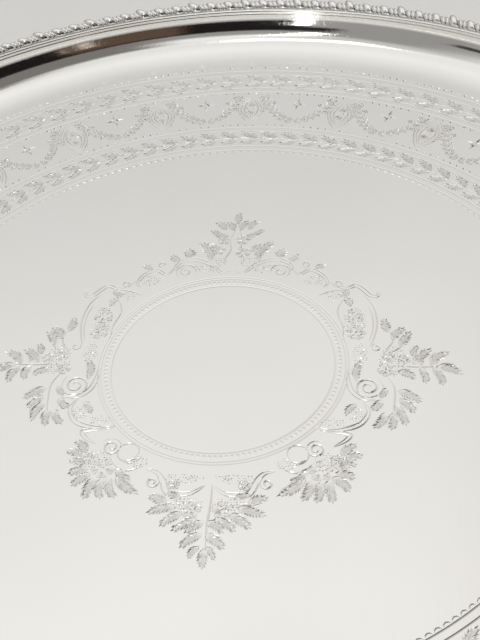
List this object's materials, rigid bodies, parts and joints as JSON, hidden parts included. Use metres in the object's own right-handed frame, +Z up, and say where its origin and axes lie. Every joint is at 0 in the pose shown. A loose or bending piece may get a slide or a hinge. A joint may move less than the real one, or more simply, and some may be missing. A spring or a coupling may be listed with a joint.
{
  "type": "silver salver",
  "caption": "Round footed silver salver with a flat bright-cut engraved field, a quarter-round rise, a cast gadroon border and cast scroll feet.",
  "frame": {"origin": "on the table plane, under the centre of the salver", "axes": "+Z up, square to the serving field; +Y towards the top of the engraved cartouche; +X to its right seen from above"},
  "size_m": [0.4062, 0.4063, 0.0396],
  "materials": {
    "polished_plate": "hand polished silver with bright-cut engraving and fine wear scratches",
    "cast_border": "polished cast silver with a little tarnish in the grooves",
    "cast_feet": "polished cast silver with a little tarnish in the hollows"
  },
  "bodies": {
    "root": {"tray_plate": "polished_plate", "border_casting_01": "cast_border", "border_casting_02": "cast_border", "border_casting_03": "cast_border", "border_casting_04": "cast_border", "border_casting_05": "cast_border", "border_casting_06": "cast_border", "border_casting_07": "cast_border", "border_casting_08": "cast_border", "border_casting_09": "cast_border", "border_casting_10": "cast_border", "border_casting_11": "cast_border", "foot_1": "cast_feet", "foot_2": "cast_feet", "foot_3": "cast_feet", "foot_4": "cast_feet"}
  },
  "joints": []
}
